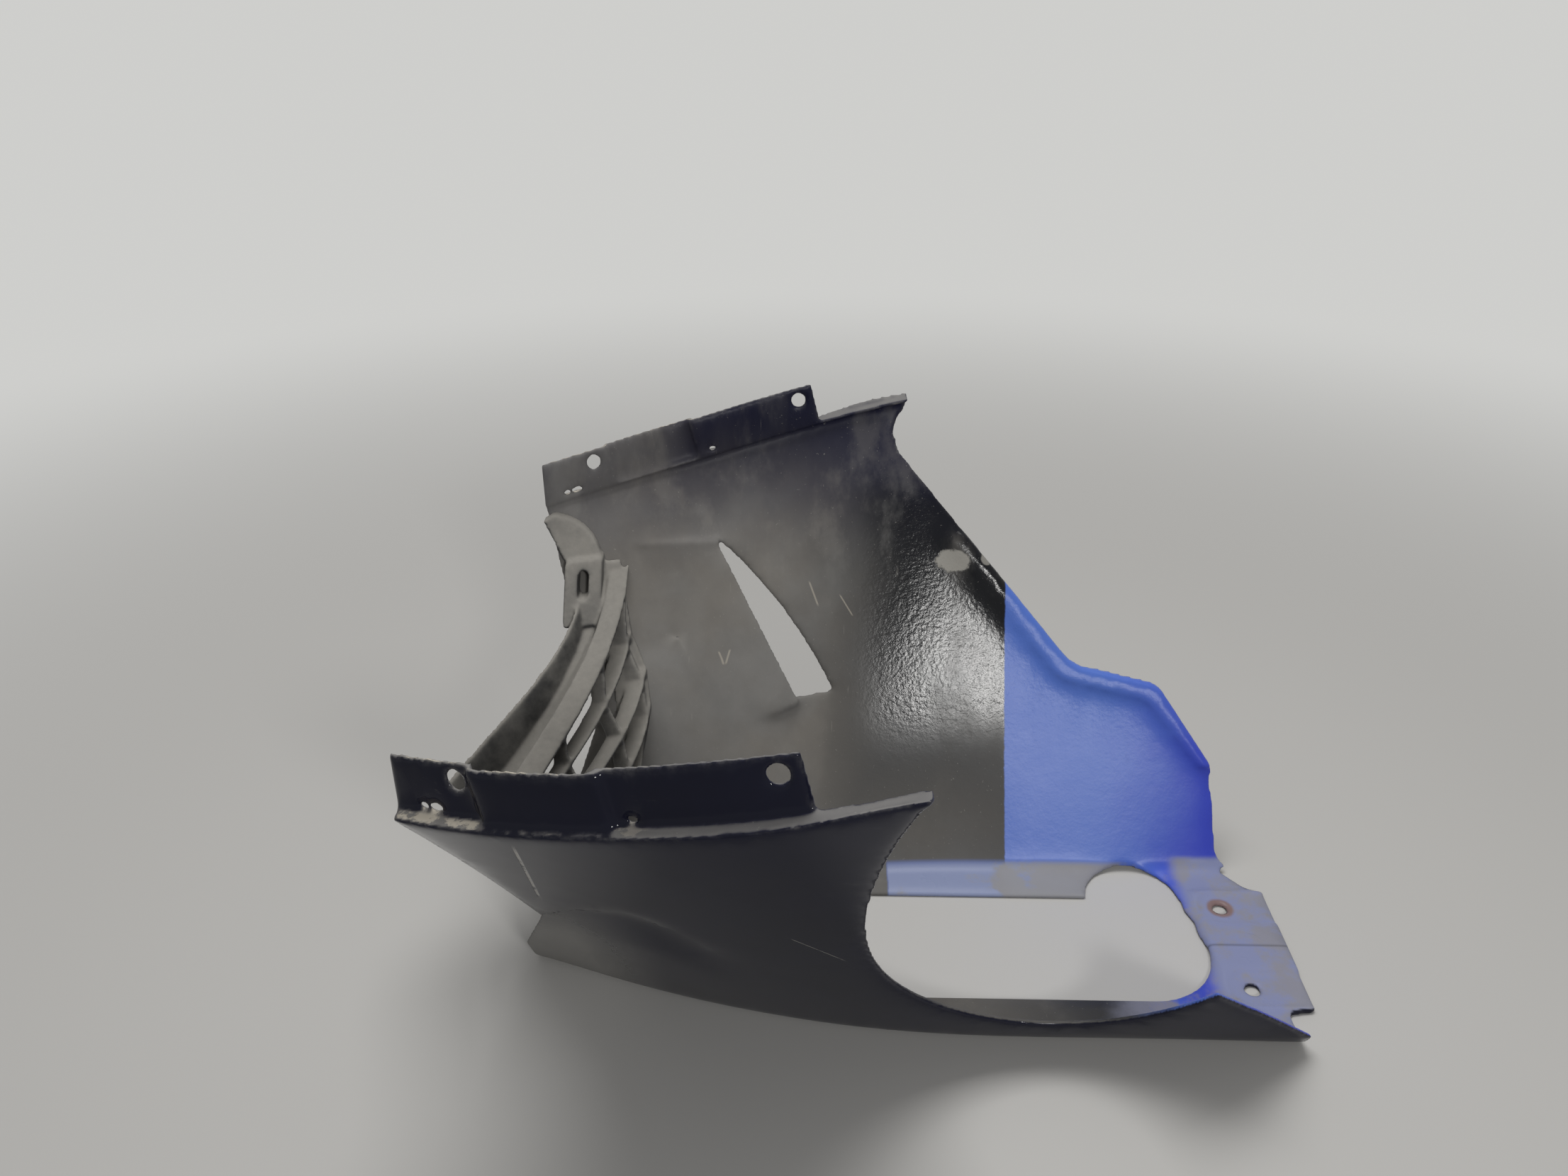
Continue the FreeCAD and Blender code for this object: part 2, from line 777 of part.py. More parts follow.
def frame_outline():
    """Side view of a side frame: a strip over the ends of the gutter's band and of the slats."""
    half = dim("frame_width") / 2
    ends = [(dim("ridge_end_station"), dim("ridge_end_height") + dim("slat_width") / 2)]
    ends += [slat_end(index) for index in range(slat_count)]
    last = ends[-1]
    ends.append((last[0] - half / 2, last[1] - dim("slat_width")))
    front = [(station - half, height) for station, height in ends]
    rear = [(station + dim("slat_width") / 2, height) for station, height in ends]
    return sharp(front + rear[::-1])


def bracket_outline():
    half = dim("bracket_width") / 2
    tall = dim("bracket_length") / 2
    station = dim("bracket_station")
    height = dim("bracket_height")
    corners = [(station, height + tall, 0)]
    corners += [(station + half * x, height + tall * y, wall) for x, y in square_from_top]
    return closed(corners)


def slot_outline():
    half = dim("bracket_slot_width") / 2
    tall = dim("bracket_slot_length") / 2
    station = dim("bracket_station")
    height = dim("bracket_height") + tall / 2
    corners = [(station + half, height, 0)]
    corners += [(station + half * x, height + tall * y, nearly_round * half) for x, y in square_from_side]
    return closed(corners)


def end_lip_outline():
    """Crescent that carries the gutter's rim up the front edge of a wall to the nose."""
    half = dim("bracket_width") / 2
    station = dim("bracket_station")
    foot = dim("bracket_height") + dim("bracket_length") / 3
    tip = shoulder_height(nose) - 2 * wall
    return curved(
        [(station + half, foot), (station + 0.4 * half, (foot + tip) / 2), (nose + 2 * wall, tip)],
        [(nose, tip - wall), (station - half, foot + wall), (station - half, foot)],
    )


def layer(name, depth, outline, seat):
    """Plates of a depth that lie on the inner faces of both walls, within an outline in side view."""
    plates = common(name + "_blank", [full_prism(name + "_zone", outline), seat])
    return cut(name, plates, hull(name + "_core", wall + dim("grille_gap") + depth, 10 * wall))


def front_grille():
    seat = hull("grille_seat", wall + dim("grille_gap"), 10 * wall)
    outside = cut("wall_side", full_prism("behind_front_edge", behind_front_edge()), seat)
    gutter = loft("gutter", [gutter_section(share) for share in bar_shares], True)
    bars = cut("seated_bars", fuse("bars", [gutter] + slats() + ribs()), outside)
    whole = fuse("whole_grille", [
        bars,
        layer("side_frames", dim("grille_wall"), frame_outline(), seat),
        layer("end_lips", dim("end_lip_depth"), end_lip_outline(), seat),
        layer("brackets", dim("bracket_depth"), bracket_outline(), seat),
    ])
    return cut("front_grille", whole, full_prism("bracket_slots", slot_outline()))


parts = [belly_pan(), front_grille()]
doc.recompute()

for item in doc.Objects:
    if {"Invalid", "Error"} & set(item.State):
        raise RuntimeError(item.Name + " failed to rebuild")
for part in parts:
    if part.Shape.isNull() or not part.Shape.isValid():
        raise RuntimeError(part.Label + " has no valid shape")

os.makedirs("parts", exist_ok=True)
for part in parts:
    print(part.Label, len(part.Shape.Solids), "solids", round(part.Shape.Volume), "mm3")
    part.Shape.exportStep("parts/" + part.Label + ".step")
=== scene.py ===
import math
import bmesh
import bpy
import numpy as np
from mathutils import Matrix, Vector
from mathutils.bvhtree import BVHTree
from mathutils.kdtree import KDTree


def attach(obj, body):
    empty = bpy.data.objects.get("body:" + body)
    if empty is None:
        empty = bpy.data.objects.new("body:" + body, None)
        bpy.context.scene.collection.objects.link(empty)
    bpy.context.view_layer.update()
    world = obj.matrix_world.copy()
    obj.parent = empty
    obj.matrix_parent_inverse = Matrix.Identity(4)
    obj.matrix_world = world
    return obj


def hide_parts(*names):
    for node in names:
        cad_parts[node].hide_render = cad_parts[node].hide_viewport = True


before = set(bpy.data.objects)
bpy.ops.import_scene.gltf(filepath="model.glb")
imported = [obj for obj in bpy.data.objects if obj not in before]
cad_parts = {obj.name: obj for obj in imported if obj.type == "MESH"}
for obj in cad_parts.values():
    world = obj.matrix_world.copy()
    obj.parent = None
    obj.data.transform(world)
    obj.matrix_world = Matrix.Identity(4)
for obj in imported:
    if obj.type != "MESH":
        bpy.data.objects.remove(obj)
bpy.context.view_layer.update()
mm = 0.001
print("frame loaded:", sorted(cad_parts))


# Moulded skins: a CAD node with its edges rounded and its broad faces left where they were

# shared by both skins: the crease is in degrees, an ease is the share that a smoothing round moves
skin = {
    "weld": 0.001 * mm, "crease": 28, "sampleStep": 0.5 * mm, "ease": 0.5,
    "normalEase": (0.15, 0.35), "normalRounds": 4, "rubbedDepth": (0.05 * mm, 0.30 * mm), "rubbedRounds": 2,
    "wallInward": (0.8, 0.6), "insideBorder": 0.12,
}


def mergedMesh(node):
    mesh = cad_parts[node].data.copy()
    bm = bmesh.new()
    bm.from_mesh(mesh)
    bmesh.ops.remove_doubles(bm, verts=bm.verts, dist=skin["weld"])
    bm.to_mesh(mesh)
    bm.free()
    mesh.polygons.foreach_set("use_smooth", [True] * len(mesh.polygons))
    mesh.set_sharp_from_angle(angle=math.radians(skin["crease"]))
    return mesh


def column(things, field):
    values = np.empty(len(things) * 3, np.float32)
    things.foreach_get(field, values)
    return values.reshape(-1, 3).astype(float)


def evaluated(name, mesh, modifiers, group=None):
    rough = bpy.data.objects.new(name, mesh)
    bpy.context.scene.collection.objects.link(rough)
    if group is not None:
        rough.vertex_groups.new(name="broad").add(group, 1.0, "REPLACE")
    for kind, settings in modifiers:
        modifier = rough.modifiers.new(kind, kind)
        for key, value in settings.items():
            setattr(modifier, key, value)
    depsgraph = bpy.context.evaluated_depsgraph_get()
    made = bpy.data.meshes.new_from_object(rough.evaluated_get(depsgraph))
    bpy.data.objects.remove(rough)
    bpy.data.meshes.remove(mesh)
    made.name = name
    return made


def edgeDistances(sharp, points):
    corners = column(sharp.vertices, "co")
    marked = np.zeros(len(sharp.edges), bool)
    sharp.attributes["sharp_edge"].data.foreach_get("value", marked)
    ends = np.zeros(len(sharp.edges) * 2, np.int32)
    sharp.edges.foreach_get("vertices", ends)
    ends = ends.reshape(-1, 2)[marked]
    samples = []
    for a, b in zip(corners[ends[:, 0]], corners[ends[:, 1]]):
        count = int(np.linalg.norm(b - a) / skin["sampleStep"]) + 2
        samples.extend(a + (b - a) * share for share in np.linspace(0.0, 1.0, count))
    tree = KDTree(len(samples))
    for index, sample in enumerate(samples):
        tree.insert(sample, index)
    tree.balance()
    return np.array([tree.find(point)[2] for point in points])


def relaxed(mesh, values, weight, rounds):
    pairs = np.zeros(len(mesh.edges) * 2, np.int32)
    mesh.edges.foreach_get("vertices", pairs)
    first, second = pairs.reshape(-1, 2).T
    count = len(mesh.vertices)
    neighbours = np.bincount(first, minlength=count) + np.bincount(second, minlength=count)
    neighbours = np.maximum(neighbours, 1)
    values = values.copy()
    for _ in range(rounds):
        for axis in range(values.shape[1]):
            here = values[:, axis]
            around = np.bincount(first, here[second], count) + np.bincount(second, here[first], count)
            values[:, axis] = here + weight * (around / neighbours - here)
    return values


def nearestOn(sharp, points):
    corners = column(sharp.vertices, "co").tolist()
    tree = BVHTree.FromPolygons(corners, [tuple(p.vertices) for p in sharp.polygons])
    return np.array([tree.find_nearest(Vector(p))[0] for p in points])


def smoothStep(low, high, value):
    t = np.clip((value - low) / (high - low), 0.0, 1.0)
    return t * t * (3 - 2 * t)


def writeAttribute(mesh, name, values):
    attribute = mesh.attributes.new(name, "FLOAT", "POINT")
    attribute.data.foreach_set("value", np.asarray(values, np.float32))


def mouldedPiece(name, node, spec, shaped=None):
    sharp = mergedMesh(node)
    dense = evaluated(name + "Dense", sharp.copy(), (
        ("REMESH", {"mode": "VOXEL", "voxel_size": spec["voxel"]}),
        ("SMOOTH", {"factor": skin["ease"], "iterations": spec["smoothing"]}),
    ))
    away = edgeDistances(sharp, column(dense.vertices, "co"))
    broad = np.nonzero(away > spec["keptBand"])[0].tolist()
    thinning = ("DECIMATE", {"ratio": spec["kept"], "vertex_group": "broad"})
    mesh = evaluated(name, dense, (thinning,), broad)
    start = column(mesh.vertices, "co")
    place = nearestOn(sharp, start)
    away = edgeDistances(sharp, start)
    trust = smoothStep(*spec["rounding"], away)
    points = start + (place - start) * trust[:, None]
    points = relaxed(mesh, points, (1 - trust) * skin["ease"], spec["evening"])
    points = relaxed(mesh, points, trust * skin["ease"], spec["fairing"])
    if shaped:
        points = shaped(mesh, points)
    mesh.vertices.foreach_set("co", points.astype(np.float32).ravel())
    mesh.update()
    mesh.polygons.foreach_set("use_smooth", [True] * len(mesh.polygons))
    least, more = skin["normalEase"]
    rounds = spec["fairing"] + skin["normalRounds"]
    normal = relaxed(mesh, column(mesh.vertices, "normal"), least + more * trust, rounds)
    normal /= np.linalg.norm(normal, axis=1)[:, None] + 1e-12  # never divides by nought
    mesh.normals_split_custom_set_from_vertices(normal.tolist())
    outward = ((place - start) * normal).sum(axis=1)
    rubbed = smoothStep(*skin["rubbedDepth"], outward) * smoothStep(spec["rounding"][1], 0.0, away)
    rubbed = relaxed(mesh, rubbed[:, None], skin["ease"], skin["rubbedRounds"])
    writeAttribute(mesh, "edge", rubbed[:, 0])
    across, upwards = skin["wallInward"]
    inward = -np.sign(points[:, 1]) * normal[:, 1] * across + normal[:, 2] * upwards
    border = skin["insideBorder"]
    writeAttribute(mesh, "inside", smoothStep(-border, border, inward))
    writeAttribute(mesh, "upward", np.clip(normal[:, 2], 0.0, 1.0))
    piece = bpy.data.objects.new(name, mesh)
    bpy.context.scene.collection.objects.link(piece)
    bpy.data.meshes.remove(sharp)
    print(name, sum(len(p.vertices) - 2 for p in mesh.polygons), "triangles")
    return piece


panShape = {
    "voxel": 1.25 * mm, "smoothing": 5, "kept": 0.24, "keptBand": 2.4 * mm, "rounding": (0.9 * mm, 2.3 * mm),
    "evening": 4, "fairing": 8, "chinStation": -0.212, "rightWall": 0.05,
    # stations and heights below are in millimetres, a station from the chin to the rear
    # styling line on both walls behind the chin
    "lineStations": (26, 58, 85, 112, 140), "lineHeights": (104, 140, 152, 128, 92),
    "lineDepth": 2.6 * mm, "lineSoftness": 5, "lineReach": (10, 62),
    "lineStart": (18, 34), "lineEnd": (95, 140), "lineClearance": 20 * mm,
    # pressed panel ahead of the vent, which melts into the wall at its front and foot
    "panelStations": (22, 46, 76, 104), "panelHeights": (60, 82, 172, 196), "panelLean": (185, 0.55),
    "panelRounds": 90,
    # rear edge of the right wall, whose rim swells out of the wall
    "rimStations": (227, 351, 409, 445), "rimHeights": (256, 122, 112, 64),
    "rimBand": (3.5, 6.0, 17.0, 23.0), "rimSoft": (300, 330), "rimFading": 0.7, "rimRounds": 60,
}


def rimDistance(station, height):
    corners = np.array([panShape["rimStations"], panShape["rimHeights"]], float).T
    here = np.stack([station, height], axis=1)
    nearest = np.full(len(here), np.inf)
    for a, b in zip(corners, corners[1:]):
        share = np.clip(((here - a) @ (b - a)) / ((b - a) @ (b - a)), 0.0, 1.0)
        nearest = np.minimum(nearest, np.linalg.norm(here - a - share[:, None] * (b - a), axis=1))
    return nearest


def styledWalls(mesh, points):
    station = (points[:, 0] - panShape["chinStation"]) / mm
    height = points[:, 2] / mm
    a, b, c, d = panShape["panelStations"]
    low, full, fading, top = panShape["panelHeights"]
    level, slope = panShape["panelLean"]
    lean = station - (level - height) * slope
    melt = smoothStep(a, b, lean) * (1 - smoothStep(c, d, lean)) * smoothStep(low, full, height)
    melt = melt * (1 - smoothStep(fading, top, height)) * (points[:, 1] > panShape["rightWall"])
    points = relaxed(mesh, points, melt * skin["ease"], panShape["panelRounds"])
    inset = rimDistance(station, height)
    a, b, c, d = panShape["rimBand"]
    swell = smoothStep(a, b, inset) * (1 - smoothStep(c, d, inset)) * (points[:, 1] > panShape["rightWall"])
    swell = swell * (1 - panShape["rimFading"] * smoothStep(*panShape["rimSoft"], station))
    points = relaxed(mesh, points, swell * skin["ease"], panShape["rimRounds"])
    below = np.interp(station, panShape["lineStations"], panShape["lineHeights"]) - height
    amount = smoothStep(0, panShape["lineSoftness"], below)
    amount *= 1 - smoothStep(*panShape["lineReach"], below)
    amount *= smoothStep(*panShape["lineStart"], station) * (1 - smoothStep(*panShape["lineEnd"], station))
    amount *= np.abs(points[:, 1]) > panShape["lineClearance"]
    across, upwards = skin["wallInward"]
    side = np.sign(points[:, 1])
    inward = np.stack([np.zeros(len(points)), -side * across, np.full(len(points), upwards)], axis=1)
    return points + inward * (amount * panShape["lineDepth"])[:, None]


grilleShape = {
    "voxel": 0.95 * mm, "smoothing": 4, "kept": 0.6, "keptBand": 0.0, "rounding": (0.7 * mm, 1.7 * mm),
    "evening": 3, "fairing": 2,
}

bellyPan = mouldedPiece("bellyPanSkin", "belly_pan", panShape, styledWalls)
frontGrille = mouldedPiece("frontGrilleSkin", "front_grille", grilleShape)


# Shader maths: a socket that can be added, taken away, multiplied and divided

class Wire:
    def __init__(self, finish, socket):
        self.finish = finish
        self.socket = socket

    def maths(self, operation, first, second):
        return self.finish.node("ShaderNodeMath", {"operation": operation}, {0: first, 1: second})

    def __add__(self, other):
        return self.maths("ADD", self, other)

    def __sub__(self, other):
        return self.maths("SUBTRACT", self, other)

    def __mul__(self, other):
        return self.maths("MULTIPLY", self, other)

    def __truediv__(self, other):
        return self.maths("DIVIDE", self, other)

    def __rsub__(self, other):
        return self.maths("SUBTRACT", other, self)

    def __rtruediv__(self, other):
        return self.maths("DIVIDE", other, self)

    __radd__ = __add__
    __rmul__ = __mul__


class Finish:
    def __init__(self, name, roughness):
        self.material = bpy.data.materials.new(name)
        self.material.use_nodes = True
        self.tree = self.material.node_tree
        self.shader = self.tree.nodes["Principled BSDF"]
        self.shader.inputs["Roughness"].default_value = roughness
        self.place = self.node("ShaderNodeTexCoord", {}, {}, "Object")
        axes = (self.node("ShaderNodeSeparateXYZ", {}, {0: self.place}, axis) for axis in range(3))
        self.x, self.y, self.z = axes

    def node(self, kind, settings, inputs, output=0):
        made = self.tree.nodes.new(kind)
        for key, value in settings.items():
            setattr(made, key, value)
        for key, value in inputs.items():
            if isinstance(value, Wire):
                self.tree.links.new(value.socket, made.inputs[key])
            else:
                made.inputs[key].default_value = value
        return Wire(self, made.outputs[output])

    def attribute(self, name):
        return self.node("ShaderNodeAttribute", {"attribute_name": name}, {}, "Fac")

    def noise(self, scale, detail, roughness, stretch=(1, 1, 1)):
        placed = self.node("ShaderNodeMapping", {}, {"Vector": self.place, "Scale": stretch})
        return self.node("ShaderNodeTexNoise", {}, {"Vector": placed, "Scale": scale, "Detail": detail,
                                                    "Roughness": roughness})

    def band(self, value, low, high):
        return self.node("ShaderNodeMapRange", {"interpolation_type": "SMOOTHSTEP"},
                         {"Value": value, "From Min": low, "From Max": high})

    def line(self, value, place, soft):
        return self.band(value, place - soft, place + soft)

    def larger(self, first, second):
        return first.maths("MAXIMUM", first, second)

    def smaller(self, first, second):
        return first.maths("MINIMUM", first, second)

    def size(self, value):
        return self.node("ShaderNodeMath", {"operation": "ABSOLUTE"}, {0: value})

    def distance(self, first, second):
        return self.node("ShaderNodeMath", {"operation": "SQRT"}, {0: first * first + second * second})

    def mix(self, factor, first, second):
        def colour(value):
            return value if isinstance(value, Wire) else (*value, 1.0)
        return self.node("ShaderNodeMix", {"data_type": "RGBA", "clamp_factor": True},
                         {0: factor, 6: colour(first), 7: colour(second)}, 2)

    def stroke(self, start, end, width, taper=0.15, core=0.3):
        # straight mark between two places, each given in the x and z directions
        slope = (end[0] - start[0]) / (end[1] - start[1])
        off = self.size(self.x - (self.z - start[1]) * slope - start[0])
        low, high = sorted((start[1], end[1]))
        soft = taper * (high - low)
        run = self.band(self.z, low, low + soft) * (1 - self.band(self.z, high - soft, high))
        return (1 - self.band(off, core * width, width)) * run

    def spot(self, centre, radius, edge, ragged=1.1, core=0.75):
        # round mark in the x and z directions, with an uneven border
        away = self.distance((self.x - centre[0]) / radius[0], (self.z - centre[1]) / radius[1])
        return 1 - self.band(away + (edge - 0.5) * ragged, core, 1.0)

    def finishWith(self, colour, roughness, height, depth):
        bump = self.node("ShaderNodeBump", {}, {"Height": height, "Strength": 1.0, "Distance": depth})
        for name, wire in (("Base Color", colour), ("Roughness", roughness), ("Normal", bump)):
            self.tree.links.new(wire.socket, self.shader.inputs[name])
        return self.material


# Painted shell: black gloss outside, dusty black inside, blue behind a masked line

shellPaint = {
    "black": (0.0040, 0.0046, 0.0070), "navy": (0.0085, 0.0092, 0.027), "dull": (0.032, 0.032, 0.033),
    "blue": (0.085, 0.165, 0.54), "deepBlue": (0.045, 0.066, 0.48), "paleBlue": (0.25, 0.275, 0.36),
    "dust": (0.27, 0.264, 0.252), "brown": (0.245, 0.230, 0.208), "residue": (0.50, 0.46, 0.39),
    "bare": (0.30, 0.29, 0.265), "rust": (0.20, 0.105, 0.055),
    "refraction": 1.24, "bumpDepth": 0.12 * mm,
    # noise patterns: scale, detail, roughness and, where it is drawn out, stretch
    "broadNoise": (7.0, 5.0, 0.6), "cloudNoise": (26.0, 6.0, 0.62), "grainNoise": (140.0, 5.0, 0.65),
    "speckNoise": (620.0, 2.0, 0.5), "dripNoise": (24.0, 4.0, 0.55, (1.0, 1.0, 0.22)),
    "scuffNoise": (60.0, 6.0, 0.7, (1.0, 1.0, 3.0)), "smearNoise": (30.0, 5.0, 0.6, (1.0, 1.0, 0.35)),
    "peelNoise": (330.0, 3.0, 0.6), "fineNoise": (90.0, 3.0, 0.5, (5.0, 1.0, 0.35)),
    "tabNoise": (34.0, 6.0, 0.65), "grimeNoise": (18.0, 5.0, 0.6), "chipNoise": (120.0, 5.0, 0.7),
    "crumbNoise": (95.0, 5.0, 0.7),
    # where dust, gloss and dirt fade in, as two places along the part or two heights, in metres
    "chinAlong": (-0.118, -0.176), "chinUp": (0.150, 0.055), "dustAlong": (0.030, -0.075),
    "dustUp": (0.285, 0.165), "noseAlong": (-0.105, -0.175), "footUp": (0.085, 0.015),
    "footAlong": (0.150, 0.05), "smearUp": (0.150, 0.200), "navyUp": (0.175, 0.235),
    "glossAlong": (-0.035, 0.012), "glossTop": (0.250, 0.215), "glossFoot": (0.060, 0.100),
    "ledgeUp": (0.222, 0.228), "crumbsAlong": (-0.085, -0.150), "wornUp": (0.21, 0.235),
    # blue paint: its masked lines, the strip of floor, the tab and the ring at the tab's hole
    "maskLine": 0.0925, "leftMaskLine": 0.150, "stripStart": 0.012, "floorUp": (0.0085, 0.0045),
    "maskSoft": 0.0006, "leftMaskSoft": 0.02, "stripSoft": 0.001, "deepAlong": (0.150, 0.235),
    "paleAlong": (0.175, 0.140), "dirtStart": (0.078, 0.105), "dirtEnd": (0.200, 0.150),
    "tabAlong": (0.200, 0.212), "tabUp": (0.012, 0.008), "tabHole": (0.228, 0.036),
    "ringReach": (0.0098, 0.0068), "ringSide": (-0.04, 0.03),
    # marks: both ends and the width, or the centre and the radii, in the x and z directions
    "scratch": ((-0.1651, 0.2300), (-0.1745, 0.1400), 0.0011),
    "hairline": ((-0.052, 0.150), (-0.020, 0.118), 0.0006),
    "rubs": (
        ((-0.043, 0.174), (-0.036, 0.158), 0.0009),
        ((-0.022, 0.166), (-0.012, 0.152), 0.0008),
        ((-0.104, 0.137), (-0.1000, 0.129), 0.0010),
        ((-0.096, 0.138), (-0.0990, 0.129), 0.0010),
    ),
    "chip": ((0.0570, 0.1860), (0.0125, 0.0080)), "flake": ((0.0800, 0.1870), (0.0050, 0.0040)),
}


def paintShell():
    p = shellPaint
    f = Finish("wornShellPaint", 0.3)
    f.shader.inputs["IOR"].default_value = p["refraction"]
    inside = f.attribute("inside")
    edge = f.attribute("edge")
    up = f.attribute("upward")
    broad = f.noise(*p["broadNoise"])
    cloud = f.noise(*p["cloudNoise"])
    grain = f.noise(*p["grainNoise"])
    speck = f.noise(*p["speckNoise"])
    drip = f.noise(*p["dripNoise"])
    right = f.band(f.y, -0.002, 0.002)

    # outside: black gloss with dust low at the chin and light scuffs
    chin = f.band(f.x, *p["chinAlong"]) * f.band(f.z, *p["chinUp"])
    chinDust = f.smaller(chin * (0.55 + 0.75 * cloud) + chin * f.band(grain, 0.5, 0.7) * 0.25, 0.92)
    scuff = f.band(f.noise(*p["scuffNoise"]), 0.60, 0.74)
    outColour = f.mix(chinDust * 0.85, f.mix(broad, p["black"], p["navy"]), p["dust"])
    outColour = f.mix(scuff * f.band(cloud, 0.5, 0.7) * 0.16, outColour, p["dust"])
    scratch = f.stroke(*p["scratch"]) * (1 - right)
    hairline = f.stroke(*p["hairline"]) * (1 - right)
    outColour = f.mix(f.larger(scratch, hairline * 0.6) * f.band(grain, 0.36, 0.52), outColour, p["bare"])
    outRough = 0.05 + chinDust * 0.5 + cloud * 0.03 + scuff * 0.08

    # inside: dust thick at the front and low, thin and streaked near the top
    dusty = f.band(f.x, *p["dustAlong"]) * f.band(f.z + (drip - 0.5) * 0.06, *p["dustUp"])
    dusty = f.larger(dusty, f.band(f.x, *p["noseAlong"]) * 0.75)
    dusty = f.larger(dusty, f.band(f.z, *p["footUp"]) * f.band(f.x, *p["footAlong"]) * 0.55)
    smear = f.band(f.noise(*p["smearNoise"]), 0.50, 0.68) * f.band(f.z, *p["smearUp"])
    dustIn = dusty * (0.52 + 0.55 * cloud) + f.band(drip, 0.52, 0.75) * 0.16 + smear * right * 0.22
    inColour = f.mix(f.band(f.z, *p["navyUp"]), p["dull"], p["navy"])
    gloss = f.band(f.x, *p["glossAlong"]) * f.band(f.z, *p["glossTop"]) * f.band(f.z, *p["glossFoot"])
    peel = f.noise(*p["peelNoise"])
    inColour = f.mix(gloss * 0.8, inColour, p["black"])
    dustTone = f.mix(f.band(broad, 0.38, 0.62), p["dust"], p["brown"])
    inColour = f.mix(dustIn * 0.80, inColour, dustTone)
    inColour = f.mix(f.band(speck, 0.69, 0.76) * 0.35, inColour, p["bare"])
    fine = f.band(f.noise(*p["fineNoise"]), 0.70, 0.76) * f.band(cloud, 0.45, 0.6)
    inColour = f.mix(fine * 0.28, inColour, p["bare"])
    inRough = 0.32 + dustIn * 0.5 - gloss * 0.22 + cloud * 0.05

    # blue behind the masked line, on the strip of floor and on the tab
    wobble = (grain - 0.5) * 0.0018
    floor = f.band(f.z, *p["floorUp"])
    blueWall = right * f.line(f.x + wobble, p["maskLine"], p["maskSoft"])
    blueLeft = f.line(f.x + (cloud - 0.5) * 0.04, p["leftMaskLine"], p["leftMaskSoft"]) * (1 - right)
    strip = right * floor * f.line(f.x + wobble, p["stripStart"], p["stripSoft"])
    blueMask = f.larger(f.larger(blueWall, blueLeft), strip)
    blue = f.mix(f.band(f.x + (broad - 0.5) * 0.10, *p["deepAlong"]), p["blue"], p["deepBlue"])
    tab = f.band(f.x, *p["tabAlong"]) * f.band(f.z, *p["tabUp"])
    blue = f.mix(f.larger(strip * f.band(f.x, *p["paleAlong"]), tab) * 0.8, blue, p["paleBlue"])
    dirtier = f.band(f.x, *p["dirtStart"]) * f.band(f.x, *p["dirtEnd"])
    dirt = floor * f.band(cloud + dirtier * 0.24, 0.52, 0.66)
    tabDirt = tab * f.band(f.noise(*p["tabNoise"]), 0.44, 0.62)
    grime = f.larger(f.larger(dirt, tabDirt * 0.75), f.band(f.noise(*p["grimeNoise"]), 0.62, 0.78) * 0.35)
    blue = f.mix(grime * 0.78, blue, dustTone)
    holeX, holeY = p["tabHole"]
    fromHole = f.distance(f.x - holeX, f.size(f.y) - holeY)
    ring = f.band(fromHole + (cloud - 0.5) * 0.006, *p["ringReach"]) * tab
    blue = f.mix(ring * f.band(f.y, *p["ringSide"]) * 0.75, blue, p["rust"])
    blueRough = 0.24 + grime * 0.45 + cloud * 0.08
    inColour = f.mix(blueMask, inColour, blue)
    inRough = inRough + (blueRough - inRough) * blueMask

    # chip and rubbed marks on the right wall
    chip = f.spot(*p["chip"], f.noise(*p["chipNoise"])) * right
    chip = f.larger(chip, f.spot(*p["flake"], cloud) * right * 0.7)
    inColour = f.mix(chip, inColour, p["bare"])
    firstRub, *otherRubs = p["rubs"]
    rub = f.stroke(*firstRub)
    for otherRub in otherRubs:
        rub = f.larger(rub, f.stroke(*otherRub))
    inColour = f.mix(rub * right * 0.45, inColour, p["residue"])
    inRough = inRough + f.larger(chip, rub) * 0.4

    colour = f.mix(inside, outColour, inColour)
    rough = outRough + (inRough - outRough) * inside

    # dust on the ledges, tan residue at the foot of the flanges and pale rubbed edges
    ledge = f.band(f.z, *p["ledgeUp"]) * f.band(up, 0.75, 0.95)
    settled = ledge * (0.45 + 0.6 * cloud)
    colour = f.mix(settled * 0.75, colour, p["dust"])
    crumbs = ledge * f.band(f.x, *p["crumbsAlong"]) * f.band(f.noise(*p["crumbNoise"]), 0.48, 0.58)
    colour = f.mix(crumbs, colour, p["residue"])
    worn = edge * f.band(cloud * 0.5 + grain * 0.5, 0.42, 0.66)
    colour = f.mix(worn * (0.20 + 0.45 * f.band(f.z, *p["wornUp"])), colour, p["dust"])
    rough = rough + (f.larger(settled, crumbs) * 0.4 + worn * 0.25)
    height = grain * (0.12 + 0.6 * inside) + speck * 0.2 * inside + crumbs * 2.4 - scratch * 1.5 - chip * 1.2
    height = height + peel * gloss * inside * 0.95
    return f.finishWith(colour, f.smaller(rough, 0.95), height, p["bumpDepth"])


# Bare grille plastic: black, scuffed and grey with dust on what faces up

grillePlastic = {
    "black": (0.028, 0.028, 0.029), "grey": (0.095, 0.093, 0.088), "dust": (0.26, 0.248, 0.225),
    "rubbed": (0.48, 0.47, 0.44), "bumpDepth": 0.10 * mm,
    # noise patterns: scale, detail and roughness
    "cloudNoise": (30.0, 6.0, 0.62), "grainNoise": (190.0, 5.0, 0.65), "stippleNoise": (900.0, 2.0, 0.5),
    "patchNoise": (22.0, 4.0, 0.55),
}


